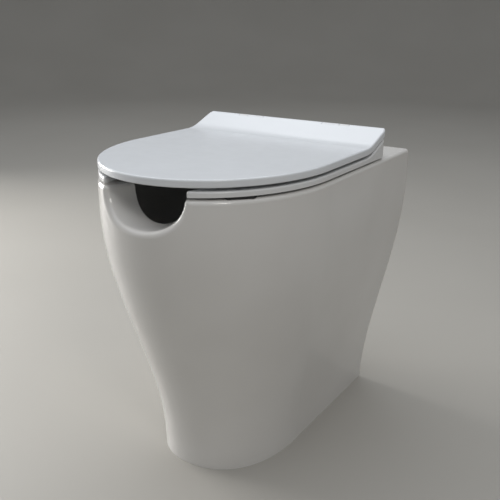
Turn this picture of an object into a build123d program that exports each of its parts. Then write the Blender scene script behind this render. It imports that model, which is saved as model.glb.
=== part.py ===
"""Back-to-wall comfort-height toilet pan with an open-front seat and a slim lid.

Millimetres, +Z up, floor at z = 0, wall plane at y = +depth / 2, front towards -Y.
"""

from build123d import *
import os
from math import cos, pi, sin

os.makedirs("parts", exist_ok=True)

# overall sizes
pan_width = 360.0
pan_depth = 540.0
pan_height = 485.0

half_w = pan_width / 2
wall_y = pan_depth / 2
nose_y = -pan_depth / 2

# outer form of the pan: how it narrows and steps back towards the floor
base_w = 229.0
base_half_w = base_w / 2
foot_set_back = 107.0
base_nose_y = nose_y + foot_set_back
side_rise = 420.0
nose_foot = 20.0
nose_rise = 430.0
side_straight_share = 0.15
side_end_base = -1.0
side_end_top = -51.0
roundness_base = 2.25
roundness_top = 2.03
pan_levels = 10
nose_points = 18
top_edge_r = 6.0

# ceramic thicknesses and the hollow foot
skirt_t = 12.0
deck_t = 12.0
front_block_drop = 78.0
front_block_y = nose_y + 85.0
back_open = 6.0

# bowl: (drop below rim, half width, half length, centre y), rim to sump
bowl_wall = 11.0
rim_w = 48.0
opening_half_w = half_w - rim_w
opening_half_l = 150.0
opening_y = nose_y + rim_w + opening_half_l
sump_z = 156.0
bowl_roundness = 2.2

# trap and outlet
trap_bore_r = 38.0
trap_wall = 10.0
trap_r = trap_bore_r + trap_wall
trap_bend_r = trap_r + 4.0
bowl_levels = [
    (0.0, opening_half_w, opening_half_l, opening_y),
    (55.0, opening_half_w - 2, opening_half_l - 2, opening_y),
    (135.0, opening_half_w - 28, opening_half_l - 32, opening_y + 8),
    (200.0, 66.0, 74.0, opening_y + 28),
    (270.0, 44.0, 50.0, opening_y + 46),
    (pan_height - sump_z, trap_bore_r - 2, trap_bore_r, opening_y + 54),
]
dip_z = 192.0
dip_start_y = -20.0
dip_end_y = 20.0
weir_bend_z = 266.0
outlet_z = 180.0
outlet_r = trap_r + 3.0
outlet_end_y = wall_y - 6.0
outlet_collar_l = 32.0

# flush inlet
inlet_z = pan_height - 60.0
seal_bore_r = 22.5
seal_t = 5.0
seal_l = 12.0
inlet_r = seal_bore_r + seal_t
inlet_boss_r = inlet_r + 9.5
inlet_end_y = wall_y - 8.0
seal_set_back = 1.0

# open front of the rim
notch_depth = 50.0
notch_front_half_w = 83.0
notch_back_half_w = 43.0
notch_over = 5.0
notch_l = 65.0 + notch_over
notch_edge_r = 8.0

# seat and lid heights above the rim
seat_low = 4.1
seat_high = 12.1
seat_inset = 0.5
lid_low = 17.0
lid_high = 28.4
lid_t = lid_high - lid_low
lid_gap = lid_low - seat_high
lid_half_w = half_w - 0.5
lid_front_y = nose_y + 1.0
lid_side_end = nose_y + 216.0
lid_back_y = wall_y - 104.0
lid_corner_r = 18.0
crease_y = lid_back_y - 70.0
ledge_high = 55.1
ledge_slope = (ledge_high - lid_high) / (lid_back_y - crease_y)
crease_r = 90.0
lid_edge_r = 2.6
slope_len = (1 + ledge_slope**2) ** 0.5
lid_under_r = 1.8
seat_edge_r = 2.4
seat_heel_r = 5.0

# seat opening
seat_open_half_w = 108.0
seat_open_y = -60.0
seat_open_back_y = 60.0
seat_open_straight = 50.0
seat_gap_half_w = 67.0
seat_end_r = 4.0
seat_corner_r = 18.0

# hinge line
knuckle_r = 8.0
axis_y = lid_back_y - knuckle_r
axis_z = pan_height + ledge_high - knuckle_r * (ledge_slope + slope_len)
pin_r = 4.0
pin_end_gap = 1.2
knuckle_end_t = 1.0
turn_gap = 0.05
pin_bore_r = pin_r + turn_gap
sleeve_t = 1.45
sleeve_bore_r = pin_bore_r + sleeve_t
hinge_x = 77.0
post_w = 33.0
side_gap = 0.75
seat_lug_w = 17.5
lid_lug_w = 17.5
swing_r = knuckle_r + 1.0
knuckle_room = knuckle_r + 0.8
web_front = 5.0
web_back = knuckle_r - 1.0
web_h = 14.0
post_front = 12.0
post_back = 2.0
post_shoulder = 12.0
post_wall = 2.0
damper_r = knuckle_r - post_wall
stud_y = axis_y - (post_front - post_back) / 2
post_in_x = hinge_x - post_w / 2
post_out_x = hinge_x + post_w / 2
seat_lug_in_x = post_out_x + side_gap
seat_lug_out_x = seat_lug_in_x + seat_lug_w
lid_lug_out_x = post_in_x - side_gap
lid_lug_in_x = lid_lug_out_x - lid_lug_w
seat_notch_front = 16.0
seat_back_y = lid_back_y - 1.0

# hinge mounting through the deck
gasket_t = 0.8
plate_t = 2.4
plate_w = 30.0
plate_l = 40.0
plate_corner_r = 6.0
stud_r = 4.0
stud_bore_r = stud_r + turn_gap
bush_wall = 3.95
deck_hole_r = stud_bore_r + bush_wall
stud_up = 16.0
stud_down = 46.0
bush_flange_r = 13.0
bush_flange_t = 3.0
washer_r = 12.0
washer_t = 2.0
wing_hub_r = 8.0
wing_h = 14.0
wing_span = 34.0
wing_t = 5.0

# buffers
buffer_l = 44.0
buffer_w = 14.0
buffer_gap = 0.3
front_buffer_x = 121.8
front_buffer_y = nose_y + 72.6
front_buffer_turn = 48.7
rear_buffer_x = half_w - 28.0
rear_buffer_y = 30.0
stop_r = 6.0
front_stop_x = 104.0
front_stop_y = nose_y + 68.0
rear_stop_x = half_w - 36.0
rear_stop_y = 0.0

# concealed floor fixing
lug_in_x = 66.0
lug_out_x = base_half_w - 6.0
lug_y = 100.0
lug_t = 20.0
lug_h = 80.0
bolt_x = 82.0
bolt_z = 45.0
bolt_r = 4.0
bolt_bore_r = bolt_r + turn_gap
sleeve_r = bolt_bore_r + 1.95
bracket_w = 32.0
bracket_t = 3.0
bracket_h = 72.0
bracket_l = 46.0
bracket_slot_l = 14.0
bracket_slot_r = 4.5
bolt_head_t = 5.5
bolt_head_af = 13.0
bolt_washer_r = 9.0
bolt_washer_t = 1.6
nut_t = 6.5
bolt_tail = 6.0

sides = (-1, 1)
over = 20.0


def ease(t):
    """Smooth step from 0 to 1."""
    t = min(max(t, 0.0), 1.0)
    return t * t * (3 - 2 * t)


def pan_outline(z):
    """Half width, nose, end of the straight sides and roundness of the pan at height z."""
    share = (1 - side_straight_share) * ease(z / side_rise)
    share += side_straight_share * min(z / side_rise, 1.0)
    wide = base_half_w + (half_w - base_half_w) * share
    front = base_nose_y + (nose_y - base_nose_y) * ease((z - nose_foot) / nose_rise)
    t = z / pan_height
    end = side_end_base + (side_end_top - side_end_base) * t
    return wide, front, end, roundness_base + (roundness_top - roundness_base) * t


def nose_curve(wide, front, end, roundness):
    """Points of the rounded front from the right side round to the left."""
    points = []
    for i in range(nose_points + 1):
        a = pi * i / nose_points
        c, s = cos(a), sin(a)
        x = wide * abs(c) ** (2 / roundness) * (1 if c >= 0 else -1)
        y = end - (end - front) * abs(s) ** (2 / roundness)
        points.append((x, y))
    points[0] = (wide, end)
    points[-1] = (-wide, end)
    return points


def d_lines(wide, front, end, roundness, back):
    """The D-shaped outline: straight back, straight sides, rounded front."""
    Line((-wide, back), (wide, back))
    Line((wide, back), (wide, end))
    Spline(nose_curve(wide, front, end, roundness), tangents=[(0, -1), (0, 1)])
    Line((-wide, end), (-wide, back))


def plate_lines(wide, front, end, back):
    """The outline of the seat and lid: straight back and sides, elliptical front."""
    Line((-wide, back), (wide, back))
    Line((wide, back), (wide, end))
    EllipticalCenterArc((0, end), wide, end - front, start_angle=180, arc_size=180)
    Line((-wide, end), (-wide, back))


def ring_points(half_x, half_y, centre_y, roundness, count=24):
    """Points round a superellipse."""
    points = []
    for i in range(count):
        a = 2 * pi * i / count
        c, s = cos(a), sin(a)
        x = half_x * abs(c) ** (2 / roundness) * (1 if c >= 0 else -1)
        y = centre_y + half_y * abs(s) ** (2 / roundness) * (1 if s >= 0 else -1)
        points.append((x, y))
    return points


def at_x(x, y=axis_y, z=axis_z):
    """A plane across the hinge line at x, facing +X."""
    return Plane((x, y, z), x_dir=(0, 1, 0), z_dir=(1, 0, 0))


def on_bend(edge, height):
    """Whether an edge bounds the bent surface that starts at this height over the rim."""
    at = edge.center()
    rise = max(at.Y - crease_y, 0) * ledge_slope
    across = abs(edge.tangent_at(0.5).X) > 0.999 and abs(at.X) < 1
    inner = across and crease_y - over < at.Y < crease_y + over
    return abs(at.Z - pan_height - height - rise) < 2.5 and not inner


def along_y(x, y, z):
    """A plane facing +Y at (x, y, z), with its own y up."""
    return Plane((x, y, z), x_dir=(-1, 0, 0), z_dir=(0, 1, 0))


def notch_sections():
    """The open front of the rim at its mouth and, narrower, towards the bowl."""
    sections = []
    mouth_y = nose_y - notch_over
    for y, wide in ((mouth_y, notch_front_half_w), (mouth_y + notch_l, notch_back_half_w)):
        with BuildSketch(along_y(0, y, pan_height)) as section:
            with BuildLine():
                EllipticalCenterArc((0, 0), wide, notch_depth, start_angle=180, arc_size=180)
                Line((wide, 0), (wide, over))
                Line((wide, over), (-wide, over))
                Line((-wide, over), (-wide, 0))
            make_face()
        sections.append(section.sketch.face())
    return sections


# pan: one ceramic casting
with BuildPart() as pan:
    for i in range(pan_levels):
        z = pan_height * i / (pan_levels - 1)
        with BuildSketch(Plane.XY.offset(z)):
            with BuildLine():
                d_lines(*pan_outline(z), wall_y + back_open)
            make_face()
    loft()
    with BuildSketch(along_y(0, wall_y, pan_height / 2)):
        Rectangle(pan_width + over, pan_height + over)
    extrude(amount=over, mode=Mode.SUBTRACT)
    # open front of the rim, with a soft mouth
    loft(notch_sections(), mode=Mode.SUBTRACT)
    mouth = pan.edges().filter_by(
        lambda e: abs(e.center().X) < 1 and abs(e.center().Z - pan_height + notch_depth) < 1
    )
    fillet(mouth.sort_by(Axis.Y)[0], notch_edge_r)
    top_edges = pan.faces().sort_by(Axis.Z)[-1].edges().filter_by(lambda e: abs(e.center().X) > 1)
    fillet(top_edges, top_edge_r)
    # hollow foot, open below and behind
    cavity_top = pan_height - front_block_drop
    for i in range(pan_levels - 1):
        z = cavity_top * i / (pan_levels - 2)
        wide, front, end, roundness = pan_outline(z)
        with BuildSketch(Plane.XY.offset(z)):
            with BuildLine():
                d_lines(wide - skirt_t, front + skirt_t, end, roundness, wall_y + back_open)
            make_face()
    loft(mode=Mode.SUBTRACT)
    wide, front, end, roundness = pan_outline(cavity_top)
    with BuildSketch(Plane.XY.offset(cavity_top - 1)):
        with BuildLine():
            d_lines(wide - skirt_t, front + skirt_t, end, roundness, wall_y + back_open)
        make_face()
        with Locations((0, front_block_y + pan_depth / 2)):
            Rectangle(pan_width, pan_depth, mode=Mode.INTERSECT)
    extrude(amount=front_block_drop - deck_t + 1, mode=Mode.SUBTRACT)
    # outside of the bowl
    for drop, half_x, half_y, centre_y in bowl_levels:
        level = pan_height - drop
        if drop == 0:
            level -= deck_t / 2
        if drop == pan_height - sump_z:
            level -= bowl_wall
        ring = ring_points(half_x + bowl_wall, half_y + bowl_wall, centre_y, bowl_roundness)
        with BuildSketch(Plane.XY.offset(level)):
            with BuildLine():
                Spline(ring, periodic=True)
            make_face()
    loft()
    # outside of the trap
    with BuildLine() as trap_path:
        up_z = dip_z + trap_bend_r
        up_y = dip_end_y + trap_bend_r
        down_y = up_y + 2 * trap_bend_r
        out_z = outlet_z + trap_bend_r
        Line((0, dip_start_y, dip_z), (0, dip_end_y, dip_z))
        bend_a = trap_bend_r * cos(pi / 4)
        ThreePointArc(
            (0, dip_end_y, dip_z),
            (0, dip_end_y + bend_a, up_z - bend_a),
            (0, up_y, up_z),
        )
        Line((0, up_y, up_z), (0, up_y, weir_bend_z))
        ThreePointArc(
            (0, up_y, weir_bend_z),
            (0, up_y + trap_bend_r, weir_bend_z + trap_bend_r),
            (0, down_y, weir_bend_z),
        )
        Line((0, down_y, weir_bend_z), (0, down_y, out_z))
        ThreePointArc(
            (0, down_y, out_z),
            (0, down_y + trap_bend_r - bend_a, out_z - bend_a),
            (0, down_y + trap_bend_r, outlet_z),
        )
        Line((0, down_y + trap_bend_r, outlet_z), (0, outlet_end_y, outlet_z))
    with BuildSketch(along_y(0, dip_start_y, dip_z)):
        Circle(trap_r)
    sweep(path=trap_path.line)
    with BuildSketch(along_y(0, outlet_end_y, outlet_z)):
        Circle(outlet_r)
    extrude(amount=-outlet_collar_l)
    # flush inlet boss
    with BuildSketch(along_y(0, inlet_end_y, inlet_z)):
        Circle(inlet_boss_r)
    extrude(amount=-(inlet_end_y - opening_y - opening_half_l))
    # fixing lugs inside the foot
    for side in sides:
        with BuildSketch(along_y(side * (lug_in_x + lug_out_x) / 2, lug_y, lug_h / 2)):
            Rectangle(lug_out_x - lug_in_x, lug_h)
        extrude(amount=lug_t)
    # hollow of the bowl
    for drop, half_x, half_y, centre_y in bowl_levels:
        level = pan_height - drop
        if drop == 0:
            level += 1
        with BuildSketch(Plane.XY.offset(level)):
            with BuildLine():
                Spline(ring_points(half_x, half_y, centre_y, bowl_roundness), periodic=True)
            make_face()
    loft(mode=Mode.SUBTRACT)
    # the open front again, through the wall of the bowl
    loft(notch_sections(), mode=Mode.SUBTRACT)
    # bore of the trap, inlet, seat bolts and lugs
    with BuildSketch(along_y(0, dip_start_y, dip_z)):
        Circle(trap_bore_r)
    sweep(path=trap_path.line, mode=Mode.SUBTRACT)
    with BuildSketch(along_y(0, inlet_end_y, inlet_z)):
        Circle(inlet_r)
    extrude(amount=-(inlet_end_y - opening_y - opening_half_l + over), mode=Mode.SUBTRACT)
    with BuildSketch(Plane.XY.offset(pan_height)):
        with Locations((-hinge_x, stud_y), (hinge_x, stud_y)):
            Circle(deck_hole_r)
    extrude(amount=-deck_t - 1, mode=Mode.SUBTRACT)
    for side in sides:
        with BuildSketch(along_y(side * bolt_x, lug_y - 1, bolt_z)):
            Circle(sleeve_r)
        extrude(amount=lug_t + 2, mode=Mode.SUBTRACT)
pan.part.label = "pan"
export_step(pan.part, "parts/pan.step")


# lid: bent plate cut to the D outline, with two knuckles inboard of the posts
with BuildPart() as lid:
    with BuildSketch(Plane.XY.offset(pan_height)):
        with BuildLine():
            plate_lines(lid_half_w, lid_front_y, lid_side_end, lid_back_y)
        make_face()
    extrude(amount=ledge_high + over)
    with BuildSketch(at_x(-half_w, 0, pan_height)) as bend:
        low_back = ledge_high - lid_t * slope_len
        low_crease = lid_back_y - (low_back - lid_low) / ledge_slope
        with BuildLine():
            Polyline(
                (nose_y - over, lid_low),
                (low_crease, lid_low),
                (lid_back_y + over, low_back + over * ledge_slope),
                (lid_back_y + over, ledge_high + over * ledge_slope),
                (crease_y, lid_high),
                (nose_y - over, lid_high),
                close=True,
            )
        make_face()
        corners = bend.vertices().filter_by(lambda v: crease_y - 5 < v.X < low_crease + 5)
        fillet(corners, crease_r)
    extrude(amount=pan_width, mode=Mode.INTERSECT)
    upright = lid.edges().filter_by(Axis.Z).filter_by(lambda e: e.center().Y > lid_back_y - 1)
    fillet(upright, lid_corner_r)
    for height, radius in ((lid_high, lid_edge_r), (lid_low, lid_under_r)):
        rim = lid.edges().filter_by(lambda e: on_bend(e, height))
        fillet(rim, radius)
    # the back edge is round about the hinge line
    with BuildSketch(at_x(-half_w)):
        with BuildLine():
            Polyline(
                (0, 0),
                (-knuckle_r * ledge_slope, knuckle_r),
                (-knuckle_r * ledge_slope, over),
                (over, over),
                (over, 0),
                close=True,
            )
        make_face()
        Circle(knuckle_r, mode=Mode.SUBTRACT)
    extrude(amount=pan_width, mode=Mode.SUBTRACT)
    for side in sides:
        # room for the posts and the seat knuckles
        with BuildSketch(at_x(side * lid_lug_out_x)):
            Circle(knuckle_room)
        extrude(amount=side * (seat_lug_out_x + side_gap - lid_lug_out_x), mode=Mode.SUBTRACT)
        with BuildSketch(at_x(side * lid_lug_in_x)):
            Circle(knuckle_r)
        extrude(amount=side * lid_lug_w)
        with BuildSketch(at_x(side * (lid_lug_in_x + knuckle_end_t))):
            Circle(sleeve_bore_r)
        extrude(amount=side * lid_lug_w, mode=Mode.SUBTRACT)
lid.part.label = "lid"
export_step(lid.part, "parts/lid.step")


# seat: open-front ring that thickens into a block under the ledge of the lid
with BuildPart() as seat:
    with BuildSketch(Plane.XY.offset(pan_height)) as ring:
        with BuildLine():
            plate_lines(lid_half_w - seat_inset, lid_front_y + seat_inset, lid_side_end, seat_back_y)
        make_face()
        # the opening, out through the front
        with BuildLine():
            EllipticalCenterArc(
                (0, seat_open_y),
                seat_open_half_w,
                seat_open_back_y - seat_open_y,
                start_angle=0,
                arc_size=180,
            )
            for side in sides:
                wide = (side * seat_open_half_w, seat_open_y - seat_open_straight)
                Line((side * seat_open_half_w, seat_open_y), wide)
                end = (side * seat_gap_half_w, nose_y - 5)
                Spline((wide, end), tangents=[(0, -1), (0, -1)])
            Line((-seat_gap_half_w, nose_y - 5), (seat_gap_half_w, nose_y - 5))
        make_face(mode=Mode.SUBTRACT)
        tips = ring.vertices().filter_by(lambda v: v.Y < nose_y + 30)
        fillet(tips, seat_end_r)
    extrude(amount=ledge_high)
    with BuildSketch(at_x(-half_w, 0, pan_height)) as rise:
        high_back = ledge_high - (lid_t + lid_gap) * slope_len
        high_crease = lid_back_y - (high_back - seat_high) / ledge_slope
        with BuildLine():
            Polyline(
                (nose_y - over, seat_low),
                (seat_back_y - seat_heel_r, seat_low),
                (seat_back_y, seat_low + seat_heel_r),
                (seat_back_y, high_back),
                (high_crease, seat_high),
                (nose_y - over, seat_high),
                close=True,
            )
        make_face()
        fillet(rise.vertices().filter_by(lambda v: abs(v.X - high_crease) < 1), crease_r)
    extrude(amount=pan_width, mode=Mode.INTERSECT)
    upright = seat.edges().filter_by(Axis.Z).filter_by(lambda e: e.center().Y > seat_back_y - 1)
    fillet(upright, seat_corner_r)
    flat_top = seat.edges().filter_by(
        lambda e: abs(e.center().Z - pan_height - seat_high) < 0.01 and e.center().Y < high_crease - 30
    )
    fillet(flat_top, seat_edge_r)
    for side in sides:
        # room for the post and its plate
        with BuildSketch(at_x(side * (post_in_x - side_gap))):
            with Locations((pan_depth / 2 - seat_notch_front, 0)):
                Rectangle(pan_depth, 3 * ledge_high)
        extrude(amount=side * (post_w + 2 * side_gap), mode=Mode.SUBTRACT)
        # room for the turning lid, inboard and outboard of the seat knuckle
        for start, length in (
            (lid_lug_out_x, -lid_lug_out_x),
            (seat_lug_out_x, half_w + over - seat_lug_out_x),
        ):
            with BuildSketch(at_x(side * start)):
                Circle(swing_r)
            extrude(amount=side * length, mode=Mode.SUBTRACT)
        with BuildSketch(at_x(side * seat_lug_in_x)):
            Circle(knuckle_r)
            with Locations(((web_back - web_front) / 2, -web_h / 2)):
                Rectangle(web_front + web_back, web_h)
        extrude(amount=side * seat_lug_w)
        with BuildSketch(at_x(side * (seat_lug_out_x - knuckle_end_t))):
            Circle(sleeve_bore_r)
        extrude(amount=-side * seat_lug_w, mode=Mode.SUBTRACT)
seat.part.label = "seat"
export_step(seat.part, "parts/seat.step")


# buffers under the seat
with BuildPart() as seat_buffers:
    with BuildSketch(Plane.XY.offset(pan_height + buffer_gap)):
        for side in sides:
            with Locations(Location((side * front_buffer_x, front_buffer_y), side * front_buffer_turn)):
                SlotOverall(buffer_l, buffer_w)
            with Locations(Location((side * rear_buffer_x, rear_buffer_y), 90)):
                SlotOverall(buffer_l, buffer_w)
    extrude(amount=seat_low - buffer_gap)
seat_buffers.part.label = "seat_buffers"
export_step(seat_buffers.part, "parts/seat_buffers.step")

# round stops under the lid
with BuildPart() as lid_buffers:
    with BuildSketch(Plane.XY.offset(pan_height + seat_high + buffer_gap)):
        with Locations(
            (-front_stop_x, front_stop_y),
            (front_stop_x, front_stop_y),
            (-rear_stop_x, rear_stop_y),
            (rear_stop_x, rear_stop_y),
        ):
            Circle(stop_r)
    extrude(amount=lid_gap - buffer_gap)
lid_buffers.part.label = "lid_buffers"
export_step(lid_buffers.part, "parts/lid_buffers.step")

# hinge posts: one each side, standing on their plates
with BuildPart() as hinge_posts:
    foot = axis_z - pan_height - gasket_t - plate_t
    for side in sides:
        with BuildSketch(at_x(side * post_in_x)):
            Circle(knuckle_r)
            with BuildLine():
                Polyline(
                    (-post_front, -foot),
                    (-post_front, -post_shoulder),
                    (-knuckle_r / 2, -knuckle_r / 2),
                    (0, 0),
                    (post_back, -knuckle_r / 2),
                    (post_back, -foot),
                    close=True,
                )
            make_face()
            Circle(damper_r, mode=Mode.SUBTRACT)
        extrude(amount=side * post_w)
    with BuildSketch(Plane.XY.offset(axis_z - foot)):
        with Locations((-hinge_x, stud_y), (hinge_x, stud_y)):
            Circle(stud_bore_r)
    extrude(amount=stud_up - gasket_t - plate_t, mode=Mode.SUBTRACT)
hinge_posts.part.label = "hinge_posts"
export_step(hinge_posts.part, "parts/hinge_posts.step")

# hinge pins
with BuildPart() as hinge_pins:
    for side in sides:
        with BuildSketch(at_x(side * (lid_lug_in_x + pin_end_gap))):
            Circle(pin_r)
        extrude(amount=side * (seat_lug_out_x - lid_lug_in_x - 2 * pin_end_gap))
hinge_pins.part.label = "hinge_pins"
export_step(hinge_pins.part, "parts/hinge_pins.step")

# sleeves in the knuckles of the seat
with BuildPart() as seat_sleeves:
    for side in sides:
        with BuildSketch(at_x(side * seat_lug_in_x)):
            Circle(sleeve_bore_r)
            Circle(pin_bore_r, mode=Mode.SUBTRACT)
        extrude(amount=side * (seat_lug_w - knuckle_end_t))
seat_sleeves.part.label = "seat_sleeves"
export_step(seat_sleeves.part, "parts/seat_sleeves.step")

# sleeves in the knuckles of the lid
with BuildPart() as lid_sleeves:
    for side in sides:
        with BuildSketch(at_x(side * (lid_lug_in_x + knuckle_end_t))):
            Circle(sleeve_bore_r)
            Circle(pin_bore_r, mode=Mode.SUBTRACT)
        extrude(amount=side * (lid_lug_w - knuckle_end_t))
lid_sleeves.part.label = "lid_sleeves"
export_step(lid_sleeves.part, "parts/lid_sleeves.step")

# damper barrel of the seat, in the right post
with BuildPart() as seat_damper:
    with BuildSketch(at_x(post_in_x)):
        Circle(damper_r)
        Circle(pin_r, mode=Mode.SUBTRACT)
    extrude(amount=post_w)
seat_damper.part.label = "seat_damper"
export_step(seat_damper.part, "parts/seat_damper.step")

# damper barrel of the lid, in the left post
with BuildPart() as lid_damper:
    with BuildSketch(at_x(-post_in_x)):
        Circle(damper_r)
        Circle(pin_r, mode=Mode.SUBTRACT)
    extrude(amount=-post_w)
lid_damper.part.label = "lid_damper"
export_step(lid_damper.part, "parts/lid_damper.step")

# soft gaskets on the deck
with BuildPart() as hinge_gaskets:
    with BuildSketch(Plane.XY.offset(pan_height)):
        with Locations((-hinge_x, stud_y), (hinge_x, stud_y)):
            RectangleRounded(plate_w, plate_l, plate_corner_r)
            Circle(stud_bore_r, mode=Mode.SUBTRACT)
    extrude(amount=gasket_t)
hinge_gaskets.part.label = "hinge_gaskets"
export_step(hinge_gaskets.part, "parts/hinge_gaskets.step")

# plates under the posts
with BuildPart() as hinge_plates:
    with BuildSketch(Plane.XY.offset(pan_height + gasket_t)):
        with Locations((-hinge_x, stud_y), (hinge_x, stud_y)):
            RectangleRounded(plate_w, plate_l, plate_corner_r)
            Circle(stud_bore_r, mode=Mode.SUBTRACT)
    extrude(amount=plate_t)
hinge_plates.part.label = "hinge_plates"
export_step(hinge_plates.part, "parts/hinge_plates.step")

# studs down through the deck
with BuildPart() as hinge_studs:
    with BuildSketch(Plane.XY.offset(pan_height - stud_down)):
        with Locations((-hinge_x, stud_y), (hinge_x, stud_y)):
            Circle(stud_r)
    extrude(amount=stud_down + stud_up)
hinge_studs.part.label = "hinge_studs"
export_step(hinge_studs.part, "parts/hinge_studs.step")

# rubber bushes in the deck holes
with BuildPart() as deck_bushes:
    with BuildSketch(Plane.XY.offset(pan_height)):
        with Locations((-hinge_x, stud_y), (hinge_x, stud_y)):
            Circle(deck_hole_r)
    extrude(amount=-deck_t)
    with BuildSketch(Plane.XY.offset(pan_height - deck_t)):
        with Locations((-hinge_x, stud_y), (hinge_x, stud_y)):
            Circle(bush_flange_r)
    extrude(amount=-bush_flange_t)
    with BuildSketch(Plane.XY.offset(pan_height)):
        with Locations((-hinge_x, stud_y), (hinge_x, stud_y)):
            Circle(stud_bore_r)
    extrude(amount=-deck_t - bush_flange_t, mode=Mode.SUBTRACT)
deck_bushes.part.label = "deck_bushes"
export_step(deck_bushes.part, "parts/deck_bushes.step")

# washers under the bushes
with BuildPart() as stud_washers:
    with BuildSketch(Plane.XY.offset(pan_height - deck_t - bush_flange_t)):
        with Locations((-hinge_x, stud_y), (hinge_x, stud_y)):
            Circle(washer_r)
            Circle(stud_bore_r, mode=Mode.SUBTRACT)
    extrude(amount=-washer_t)
stud_washers.part.label = "stud_washers"
export_step(stud_washers.part, "parts/stud_washers.step")

# wing nuts under the washers
with BuildPart() as wing_nuts:
    nut_top = pan_height - deck_t - bush_flange_t - washer_t
    with BuildSketch(Plane.XY.offset(nut_top)):
        with Locations((-hinge_x, stud_y), (hinge_x, stud_y)):
            Circle(wing_hub_r)
            Rectangle(wing_span, wing_t)
            Circle(stud_bore_r, mode=Mode.SUBTRACT)
    extrude(amount=-wing_h)
wing_nuts.part.label = "wing_nuts"
export_step(wing_nuts.part, "parts/wing_nuts.step")

# rubber seal of the flush inlet
with BuildPart() as inlet_seal:
    with BuildSketch(along_y(0, inlet_end_y - seal_set_back, inlet_z)):
        Circle(inlet_r)
        Circle(seal_bore_r, mode=Mode.SUBTRACT)
    extrude(amount=-seal_l)
inlet_seal.part.label = "inlet_seal"
export_step(inlet_seal.part, "parts/inlet_seal.step")

# sleeves in the fixing lugs of the foot
with BuildPart() as lug_sleeves:
    for side in sides:
        with BuildSketch(along_y(side * bolt_x, lug_y, bolt_z)):
            Circle(sleeve_r)
            Circle(bolt_bore_r, mode=Mode.SUBTRACT)
        extrude(amount=lug_t)
lug_sleeves.part.label = "lug_sleeves"
export_step(lug_sleeves.part, "parts/lug_sleeves.step")

# angle brackets for the floor
with BuildPart() as floor_brackets:
    bracket_y = lug_y + lug_t
    for side in sides:
        with BuildSketch(along_y(side * bolt_x, bracket_y, bracket_h / 2)):
            Rectangle(bracket_w, bracket_h)
            with Locations((0, bolt_z - bracket_h / 2)):
                Circle(bolt_bore_r, mode=Mode.SUBTRACT)
        extrude(amount=bracket_t)
    with BuildSketch():
        with Locations(
            (-bolt_x, bracket_y + bracket_l / 2),
            (bolt_x, bracket_y + bracket_l / 2),
        ):
            Rectangle(bracket_w, bracket_l)
            SlotOverall(bracket_slot_l, 2 * bracket_slot_r, mode=Mode.SUBTRACT)
    extrude(amount=bracket_t)
floor_brackets.part.label = "floor_brackets"
export_step(floor_brackets.part, "parts/floor_brackets.step")

# bolts through the lugs and brackets
with BuildPart() as bracket_bolts:
    head_y = lug_y - bolt_washer_t
    nut_y = lug_y + lug_t + bracket_t + bolt_washer_t
    for side in sides:
        with BuildSketch(along_y(side * bolt_x, head_y, bolt_z)):
            RegularPolygon(bolt_head_af / 2, 6, major_radius=False)
        extrude(amount=-bolt_head_t)
        with BuildSketch(along_y(side * bolt_x, head_y, bolt_z)):
            Circle(bolt_r)
        extrude(amount=nut_y + nut_t + bolt_tail - head_y)
bracket_bolts.part.label = "bracket_bolts"
export_step(bracket_bolts.part, "parts/bracket_bolts.step")

# washers of the bracket bolts
with BuildPart() as bracket_washers:
    for side in sides:
        for y in (lug_y - bolt_washer_t, lug_y + lug_t + bracket_t):
            with BuildSketch(along_y(side * bolt_x, y, bolt_z)):
                Circle(bolt_washer_r)
                Circle(bolt_bore_r, mode=Mode.SUBTRACT)
            extrude(amount=bolt_washer_t)
bracket_washers.part.label = "bracket_washers"
export_step(bracket_washers.part, "parts/bracket_washers.step")

# nuts of the bracket bolts
with BuildPart() as bracket_nuts:
    for side in sides:
        with BuildSketch(along_y(side * bolt_x, nut_y, bolt_z)):
            RegularPolygon(bolt_head_af / 2, 6, major_radius=False)
            Circle(bolt_r, mode=Mode.SUBTRACT)
        extrude(amount=nut_t)
bracket_nuts.part.label = "bracket_nuts"
export_step(bracket_nuts.part, "parts/bracket_nuts.step")
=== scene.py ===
import math

import bmesh
import bpy
from mathutils import Matrix, Vector


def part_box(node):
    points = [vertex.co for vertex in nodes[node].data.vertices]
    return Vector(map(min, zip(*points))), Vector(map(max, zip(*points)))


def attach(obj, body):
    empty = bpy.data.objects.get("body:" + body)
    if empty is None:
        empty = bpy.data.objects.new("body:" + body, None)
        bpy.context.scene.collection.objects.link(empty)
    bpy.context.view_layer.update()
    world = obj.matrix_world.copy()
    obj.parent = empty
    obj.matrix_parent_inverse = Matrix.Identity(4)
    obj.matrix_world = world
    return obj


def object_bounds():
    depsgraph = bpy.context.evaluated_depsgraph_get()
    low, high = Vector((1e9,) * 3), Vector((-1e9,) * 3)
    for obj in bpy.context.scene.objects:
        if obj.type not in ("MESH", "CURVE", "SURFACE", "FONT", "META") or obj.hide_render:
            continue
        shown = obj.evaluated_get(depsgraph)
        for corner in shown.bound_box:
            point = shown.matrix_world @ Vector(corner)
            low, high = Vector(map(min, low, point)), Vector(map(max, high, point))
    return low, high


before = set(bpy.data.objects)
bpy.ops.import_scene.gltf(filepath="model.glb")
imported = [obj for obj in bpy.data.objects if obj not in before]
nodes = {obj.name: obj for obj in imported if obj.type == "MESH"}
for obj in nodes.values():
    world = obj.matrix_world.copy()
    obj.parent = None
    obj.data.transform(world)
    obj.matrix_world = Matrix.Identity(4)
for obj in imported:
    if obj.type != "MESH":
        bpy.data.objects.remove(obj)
cad_low, cad_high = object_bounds()

# how the outside of the foot swells towards the rim
FOOT_HALF = 0.1145
FOOT_SWELL = 0.0655
FOOT_RISE = 0.42
FOOT_STRAIGHT = 0.15

# where the casting is left unglazed, in metres, and how much rougher it is there
BARE_IN = 0.006
BARE_BACK = 0.13
BARE_TOP = 0.4728
BARE_ROUGHER = 0.62
GROUND_EDGE = 0.0004

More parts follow.
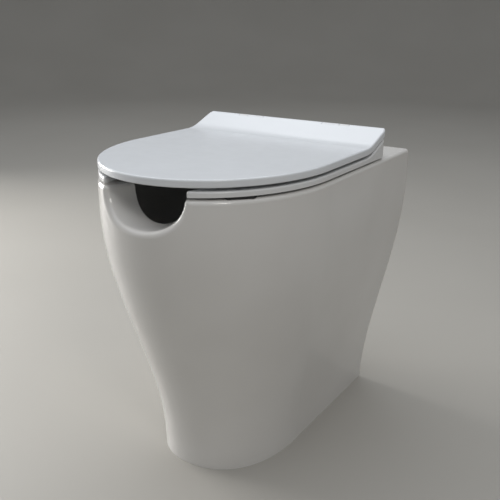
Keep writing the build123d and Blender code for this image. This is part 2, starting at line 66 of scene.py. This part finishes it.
# threads on the hinge studs and the bracket bolts, in metres
THREAD_PITCH = 0.00125
THREAD_RIDGE = 0.0003
ROD_R = 0.004
STUD_END = 0.0012
BOLT_END = 0.0009


# ---------------------------------------------------------------- finishes

class Finish:
    """A procedural finish: one shader and the nodes that feed it."""

    def __init__(self, name, roughness, **sockets):
        self.material = bpy.data.materials.new(name)
        self.material.use_nodes = True
        self.tree = self.material.node_tree
        self.shader = self.tree.nodes["Principled BSDF"]
        self.shader.inputs["Roughness"].default_value = roughness
        for socket, value in sockets.items():
            self.shader.inputs[socket.replace("_", " ")].default_value = value
        self.place = self.add("ShaderNodeTexCoord").outputs["Object"]

    def add(self, kind, **settings):
        node = self.tree.nodes.new(kind)
        for key, value in settings.items():
            if key in node.inputs:
                node.inputs[key].default_value = value
            else:
                setattr(node, key, value)
        return node

    def link(self, a, b):
        self.tree.links.new(a, b)

    def noise(self, scale, detail=3.0, stretch=None):
        node = self.add("ShaderNodeTexNoise")
        node.inputs["Scale"].default_value = scale
        node.inputs["Detail"].default_value = detail
        place = self.place
        if stretch:
            mapping = self.add("ShaderNodeMapping")
            mapping.inputs["Scale"].default_value = stretch
            self.link(self.place, mapping.inputs["Vector"])
            place = mapping.outputs["Vector"]
        self.link(place, node.inputs["Vector"])
        return node.outputs["Fac"]

    def ramp(self, fac, dark, light, low=0.3, high=0.7):
        ramp = self.add("ShaderNodeValToRGB")
        ramp.color_ramp.elements[0].position = low
        ramp.color_ramp.elements[0].color = (*dark, 1)
        ramp.color_ramp.elements[1].position = high
        ramp.color_ramp.elements[1].color = (*light, 1)
        self.link(fac, ramp.inputs["Fac"])
        return ramp.outputs["Color"]

    def tint(self, fac, dark, light):
        self.link(self.ramp(fac, dark, light), self.shader.inputs["Base Color"])

    def spread(self, value, low, high, to_low, to_high, kind="LINEAR"):
        node = self.add("ShaderNodeMapRange", interpolation_type=kind)
        sizes = {"From Min": low, "From Max": high, "To Min": to_low, "To Max": to_high}
        for name, size in sizes.items():
            node.inputs[name].default_value = size
        self.link(value, node.inputs["Value"])
        return node.outputs["Result"]

    def sum(self, operation, a, b=None):
        node = self.add("ShaderNodeMath", operation=operation)
        for socket, value in zip(node.inputs, (a, b)):
            if isinstance(value, (int, float)):
                socket.default_value = value
            elif value is not None:
                self.link(value, socket)
        return node.outputs["Value"]

    def blend(self, fac, a, b):
        node = self.add("ShaderNodeMix", data_type="RGBA")
        self.link(fac, node.inputs["Factor"])
        self.link(a, node.inputs[6])
        self.link(b, node.inputs[7])
        return node.outputs[2]

    def gloss(self, fac, low, high):
        self.link(self.spread(fac, 0.0, 1.0, low, high), self.shader.inputs["Roughness"])

    def relief(self, fac, strength, distance):
        bump = self.add("ShaderNodeBump")
        bump.inputs["Strength"].default_value = strength
        bump.inputs["Distance"].default_value = distance
        self.link(fac, bump.inputs["Height"])
        self.link(bump.outputs["Normal"], self.shader.inputs["Normal"])


def glaze():
    """Gloss glaze over the fireclay, left bare inside the hollow foot and on the ground back edge."""
    f = Finish("white_glaze", 0.1)
    split = f.add("ShaderNodeSeparateXYZ")
    f.link(f.place, split.inputs["Vector"])
    x, y, z = (split.outputs[axis] for axis in "XYZ")
    swell = f.spread(z, 0.0, FOOT_RISE, 0.0, (1 - FOOT_STRAIGHT) * FOOT_SWELL, "SMOOTHSTEP")
    lean = f.spread(z, 0.0, FOOT_RISE, 0.0, FOOT_STRAIGHT * FOOT_SWELL)
    wall = f.sum("ADD", f.sum("ADD", swell, lean), FOOT_HALF - BARE_IN)
    inside = f.sum("LESS_THAN", f.sum("ABSOLUTE", x), wall)
    behind = f.sum("GREATER_THAN", y, BARE_BACK)
    under = f.sum("LESS_THAN", z, BARE_TOP)
    ground = f.sum("GREATER_THAN", y, cad_high[1] - GROUND_EDGE)
    bare = f.sum("MAXIMUM", f.sum("MULTIPLY", f.sum("MULTIPLY", inside, behind), under), ground)
    white = f.ramp(f.noise(6.0, 2.0), (0.725, 0.715, 0.70), (0.765, 0.758, 0.745))
    clay = f.ramp(f.noise(55.0, 5.0), (0.50, 0.45, 0.37), (0.62, 0.57, 0.48))
    f.link(f.blend(bare, white, clay), f.shader.inputs["Base Color"])
    polish = f.spread(f.noise(40.0, 2.0), 0.0, 1.0, 0.06, 0.13)
    f.link(f.sum("ADD", polish, f.sum("MULTIPLY", bare, BARE_ROUGHER)), f.shader.inputs["Roughness"])
    f.relief(f.noise(14.0, 2.0), 0.06, 0.002)
    return f.material


def moulded(name, colour, roughness=0.2, grain=400.0):
    f = Finish(name, roughness)
    dark = tuple(0.97 * c for c in colour)
    f.tint(f.noise(9.0, 2.0), dark, colour)
    f.gloss(f.noise(60.0, 3.0), roughness * 0.8, roughness * 1.25)
    f.relief(f.noise(grain, 2.0), 0.03, 0.0004)
    return f.material


def rubber(name, colour, roughness=0.75):
    f = Finish(name, roughness)
    f.tint(f.noise(30.0, 4.0), tuple(0.8 * c for c in colour), colour)
    f.gloss(f.noise(90.0, 3.0), roughness * 0.85, min(1.0, roughness * 1.15))
    f.relief(f.noise(700.0, 3.0), 0.15, 0.0003)
    return f.material


def steel(name, colour, roughness=0.32):
    f = Finish(name, roughness, Metallic=1.0)
    f.tint(f.noise(25.0, 4.0), tuple(0.85 * c for c in colour), colour)
    f.gloss(f.noise(60.0, 3.0, (1, 14, 1)), roughness * 0.75, roughness * 1.3)
    f.relief(f.noise(120.0, 3.0, (1, 20, 1)), 0.08, 0.0003)
    return f.material


finishes = {
    "pan": glaze(),
    "lid": moulded("lid_plastic", (0.80, 0.83, 0.87)),
    "seat": moulded("seat_plastic", (0.78, 0.79, 0.80)),
    "hinge_posts": moulded("post_plastic", (0.79, 0.81, 0.84)),
    "seat_buffers": rubber("buffer_rubber", (0.03, 0.03, 0.032)),
    "lid_buffers": rubber("stop_rubber", (0.55, 0.56, 0.57), 0.5),
    "hinge_gaskets": rubber("gasket_rubber", (0.35, 0.36, 0.37)),
    "deck_bushes": rubber("bush_rubber", (0.03, 0.03, 0.035)),
    "inlet_seal": rubber("seal_rubber", (0.02, 0.02, 0.022)),
    "seat_sleeves": moulded("sleeve_plastic", (0.6, 0.6, 0.57), 0.5),
    "seat_damper": moulded("damper_plastic", (0.08, 0.085, 0.09), 0.45),
    "stud_washers": moulded("washer_plastic", (0.45, 0.45, 0.44), 0.5),
    "wing_nuts": moulded("nut_plastic", (0.6, 0.6, 0.57), 0.45),
    "hinge_pins": steel("pin_steel", (0.55, 0.56, 0.58)),
    "hinge_plates": steel("plate_steel", (0.6, 0.61, 0.62), 0.28),
    "hinge_studs": steel("stud_steel", (0.52, 0.53, 0.55), 0.38),
    "floor_brackets": steel("bracket_steel", (0.5, 0.51, 0.52), 0.42),
    "bracket_bolts": steel("bolt_steel", (0.53, 0.54, 0.55), 0.36),
}
finishes["lid_sleeves"] = finishes["lug_sleeves"] = finishes["seat_sleeves"]
finishes["lid_damper"] = finishes["seat_damper"]
finishes["bracket_washers"] = finishes["bracket_nuts"] = finishes["bracket_bolts"]
for name, node in nodes.items():
    node.data.materials.clear()
    node.data.materials.append(finishes[name])


# ---------------------------------------------------------------- threads, by Geometry Nodes

def thread_tree(material):
    """Rings of thread along +Z: how many, their pitch, the rod's radius and the ridge."""
    tree = bpy.data.node_groups.new("thread_rings", "GeometryNodeTree")
    for name, kind in (("Rings", "Int"), ("Pitch", "Float"), ("Radius", "Float"), ("Ridge", "Float")):
        tree.interface.new_socket(name, in_out="INPUT", socket_type="NodeSocket" + kind)
    tree.interface.new_socket("Geometry", in_out="OUTPUT", socket_type="NodeSocketGeometry")
    add, link = tree.nodes.new, tree.links.new
    sizes, out = add("NodeGroupInput"), add("NodeGroupOutput")
    rod = add("GeometryNodeCurvePrimitiveCircle")
    rod.inputs["Resolution"].default_value = 28
    link(sizes.outputs["Radius"], rod.inputs["Radius"])
    crest = add("GeometryNodeCurvePrimitiveCircle")
    crest.inputs["Resolution"].default_value = 4
    link(sizes.outputs["Ridge"], crest.inputs["Radius"])
    ring = add("GeometryNodeCurveToMesh")
    link(rod.outputs["Curve"], ring.inputs["Curve"])
    link(crest.outputs["Curve"], ring.inputs["Profile Curve"])
    step = add("ShaderNodeCombineXYZ")
    link(sizes.outputs["Pitch"], step.inputs["Z"])
    row = add("GeometryNodeMeshLine")
    link(sizes.outputs["Rings"], row.inputs["Count"])
    link(step.outputs["Vector"], row.inputs["Offset"])
    rings = add("GeometryNodeInstanceOnPoints")
    link(row.outputs["Mesh"], rings.inputs["Points"])
    link(ring.outputs["Mesh"], rings.inputs["Instance"])
    real = add("GeometryNodeRealizeInstances")
    link(rings.outputs["Instances"], real.inputs["Geometry"])
    finish = add("GeometryNodeSetMaterial")
    finish.inputs["Material"].default_value = material
    link(real.outputs["Geometry"], finish.inputs["Geometry"])
    link(finish.outputs["Geometry"], out.inputs["Geometry"])
    return tree


def threads(name, tree, starts, along, rings):
    """One mesh of thread rings on rods that start at the given points and run along +Z or +Y."""
    made = bmesh.new()
    for start in starts:
        seed = bpy.data.objects.new("rod", bpy.data.meshes.new("rod"))
        bpy.context.scene.collection.objects.link(seed)
        modifier = seed.modifiers.new("thread", "NODES")
        modifier.node_group = tree
        sizes = {"Rings": rings, "Pitch": THREAD_PITCH, "Radius": ROD_R, "Ridge": THREAD_RIDGE}
        for item in tree.interface.items_tree:
            if item.in_out == "INPUT":
                modifier[item.identifier] = sizes[item.name]
        shaped = seed.evaluated_get(bpy.context.evaluated_depsgraph_get())
        mesh = bpy.data.meshes.new_from_object(shaped)
        turn = Matrix.Rotation(-math.pi / 2, 4, "X") if along == "Y" else Matrix.Identity(4)
        mesh.transform(Matrix.Translation(start) @ turn)
        made.from_mesh(mesh)
        seed.modifiers.remove(modifier)
        bpy.data.objects.remove(seed)
        bpy.data.meshes.remove(mesh)
    bmesh.ops.recalc_face_normals(made, faces=made.faces)
    for face in made.faces:
        face.smooth = True
    mesh = bpy.data.meshes.new(name)
    made.to_mesh(mesh)
    made.free()
    mesh.materials.append(tree.nodes["Set Material"].inputs["Material"].default_value)
    piece = bpy.data.objects.new(name, mesh)
    bpy.context.scene.collection.objects.link(piece)
    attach(piece, "pan")


def add_threads():
    low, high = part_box("hinge_studs")
    nut_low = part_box("wing_nuts")[0]
    spots = [(x, (low[1] + high[1]) / 2, low[2] + STUD_END)
             for x in (low[0] + ROD_R, high[0] - ROD_R)]
    rings = int((nut_low[2] - low[2] - 2 * STUD_END) / THREAD_PITCH) + 1
    threads("stud_threads", thread_tree(finishes["hinge_studs"]), spots, "Z", rings)
    low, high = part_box("bracket_bolts")
    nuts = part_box("bracket_nuts")
    bolt_z = (nuts[0][2] + nuts[1][2]) / 2
    half = (nuts[1][0] + nuts[0][0]) / 2
    reach = nuts[1][0] - (nuts[1][2] - nuts[0][2]) / 2
    spots = [(half + side * reach, nuts[1][1] + BOLT_END, bolt_z) for side in (-1, 1)]
    rings = int((high[1] - nuts[1][1] - 2 * BOLT_END) / THREAD_PITCH) + 1
    threads("bolt_threads", thread_tree(finishes["bracket_bolts"]), spots, "Y", rings)


add_threads()


# ---------------------------------------------------------------- camera, floor, light

def camera():
    az, down, roll = math.radians(32.46), math.radians(19.0), math.radians(0.62)
    ahead = Vector((-math.sin(az) * math.cos(down), math.cos(az) * math.cos(down), -math.sin(down)))
    right = Vector((math.cos(az), math.sin(az), 0))
    up = right.cross(ahead)
    r = right * math.cos(roll) + up * math.sin(roll)
    u = -right * math.sin(roll) + up * math.cos(roll)
    data = bpy.data.cameras.new("camera")
    data.lens = 50.23
    data.sensor_width = 36
    data.clip_start, data.clip_end = 0.05, 30
    cam = bpy.data.objects.new("camera", data)
    turn = Matrix((r, u, -ahead)).transposed().to_4x4()
    cam.matrix_world = Matrix.Translation((0.6149, -0.9476, 0.7214)) @ turn
    bpy.context.scene.collection.objects.link(cam)
    bpy.context.scene.camera = cam


def floor():
    """A round studio sweep: flat floor, curved up into a low wall all round."""
    flat, cove, high, steps, turns = 5.0, 2.0, 5.5, 10, 72
    profile = [(0.6, 0.0), (flat, 0.0)]
    for i in range(1, steps + 1):
        a = math.pi / 2 * i / steps
        profile.append((flat + cove * math.sin(a), cove * (1 - math.cos(a))))
    profile.append((flat + cove, high))
    mesh = bpy.data.meshes.new("floor")
    bm = bmesh.new()
    rings = []
    for r, z in profile:
        ring = []
        for k in range(turns):
            a = 2 * math.pi * k / turns
            ring.append(bm.verts.new((r * math.cos(a), r * math.sin(a), z)))
        rings.append(ring)
    bm.faces.new(rings[0])
    for low, up in zip(rings, rings[1:]):
        for k in range(turns):
            j = (k + 1) % turns
            bm.faces.new((low[k], up[k], up[j], low[j]))
    for face in bm.faces:
        face.smooth = True
    bmesh.ops.recalc_face_normals(bm, faces=bm.faces)
    bm.to_mesh(mesh)
    bm.free()
    obj = bpy.data.objects.new("floor", mesh)
    bpy.context.scene.collection.objects.link(obj)
    f = Finish("floor_paint", 0.55)
    f.tint(f.noise(1.5, 2.0), (0.41, 0.395, 0.365), (0.43, 0.415, 0.385))
    mesh.materials.append(f.material)


def lamp(name, place, target, size, power, colour, spread=180):
    data = bpy.data.lights.new(name, "AREA")
    data.shape = "RECTANGLE"
    data.size, data.size_y = size
    data.energy = power
    data.color = colour
    data.spread = math.radians(spread)
    obj = bpy.data.objects.new(name, data)
    obj.location = place
    aim = Vector(target) - Vector(place)
    obj.rotation_mode = "QUATERNION"
    obj.rotation_quaternion = aim.to_track_quat("-Z", "Y")
    bpy.context.scene.collection.objects.link(obj)


def lights():
    world = bpy.data.worlds.new("studio")
    world.use_nodes = True
    world.node_tree.nodes["Background"].inputs["Color"].default_value = (0.93, 0.96, 1, 1)
    world.node_tree.nodes["Background"].inputs["Strength"].default_value = 0.38
    bpy.context.scene.world = world
    lamp("ceiling", (-0.6, 0.2, 3.6), (0, 0, 0.4), (5.0, 5.0), 84, (0.95, 0.975, 1))
    lamp("left_wall", (-2.4, 0.0, 0.75), (0, 0, 0.32), (1.6, 1.4), 26, (1, 0.985, 0.96), 110)
    lamp("right_strip", (1.7, -1.4, 2.2), (0, 0, 0.45), (0.5, 0.9), 4, (1, 0.965, 0.92), 100)


camera()
floor()
lights()
scene = bpy.context.scene
scene.view_settings.view_transform = "Standard"
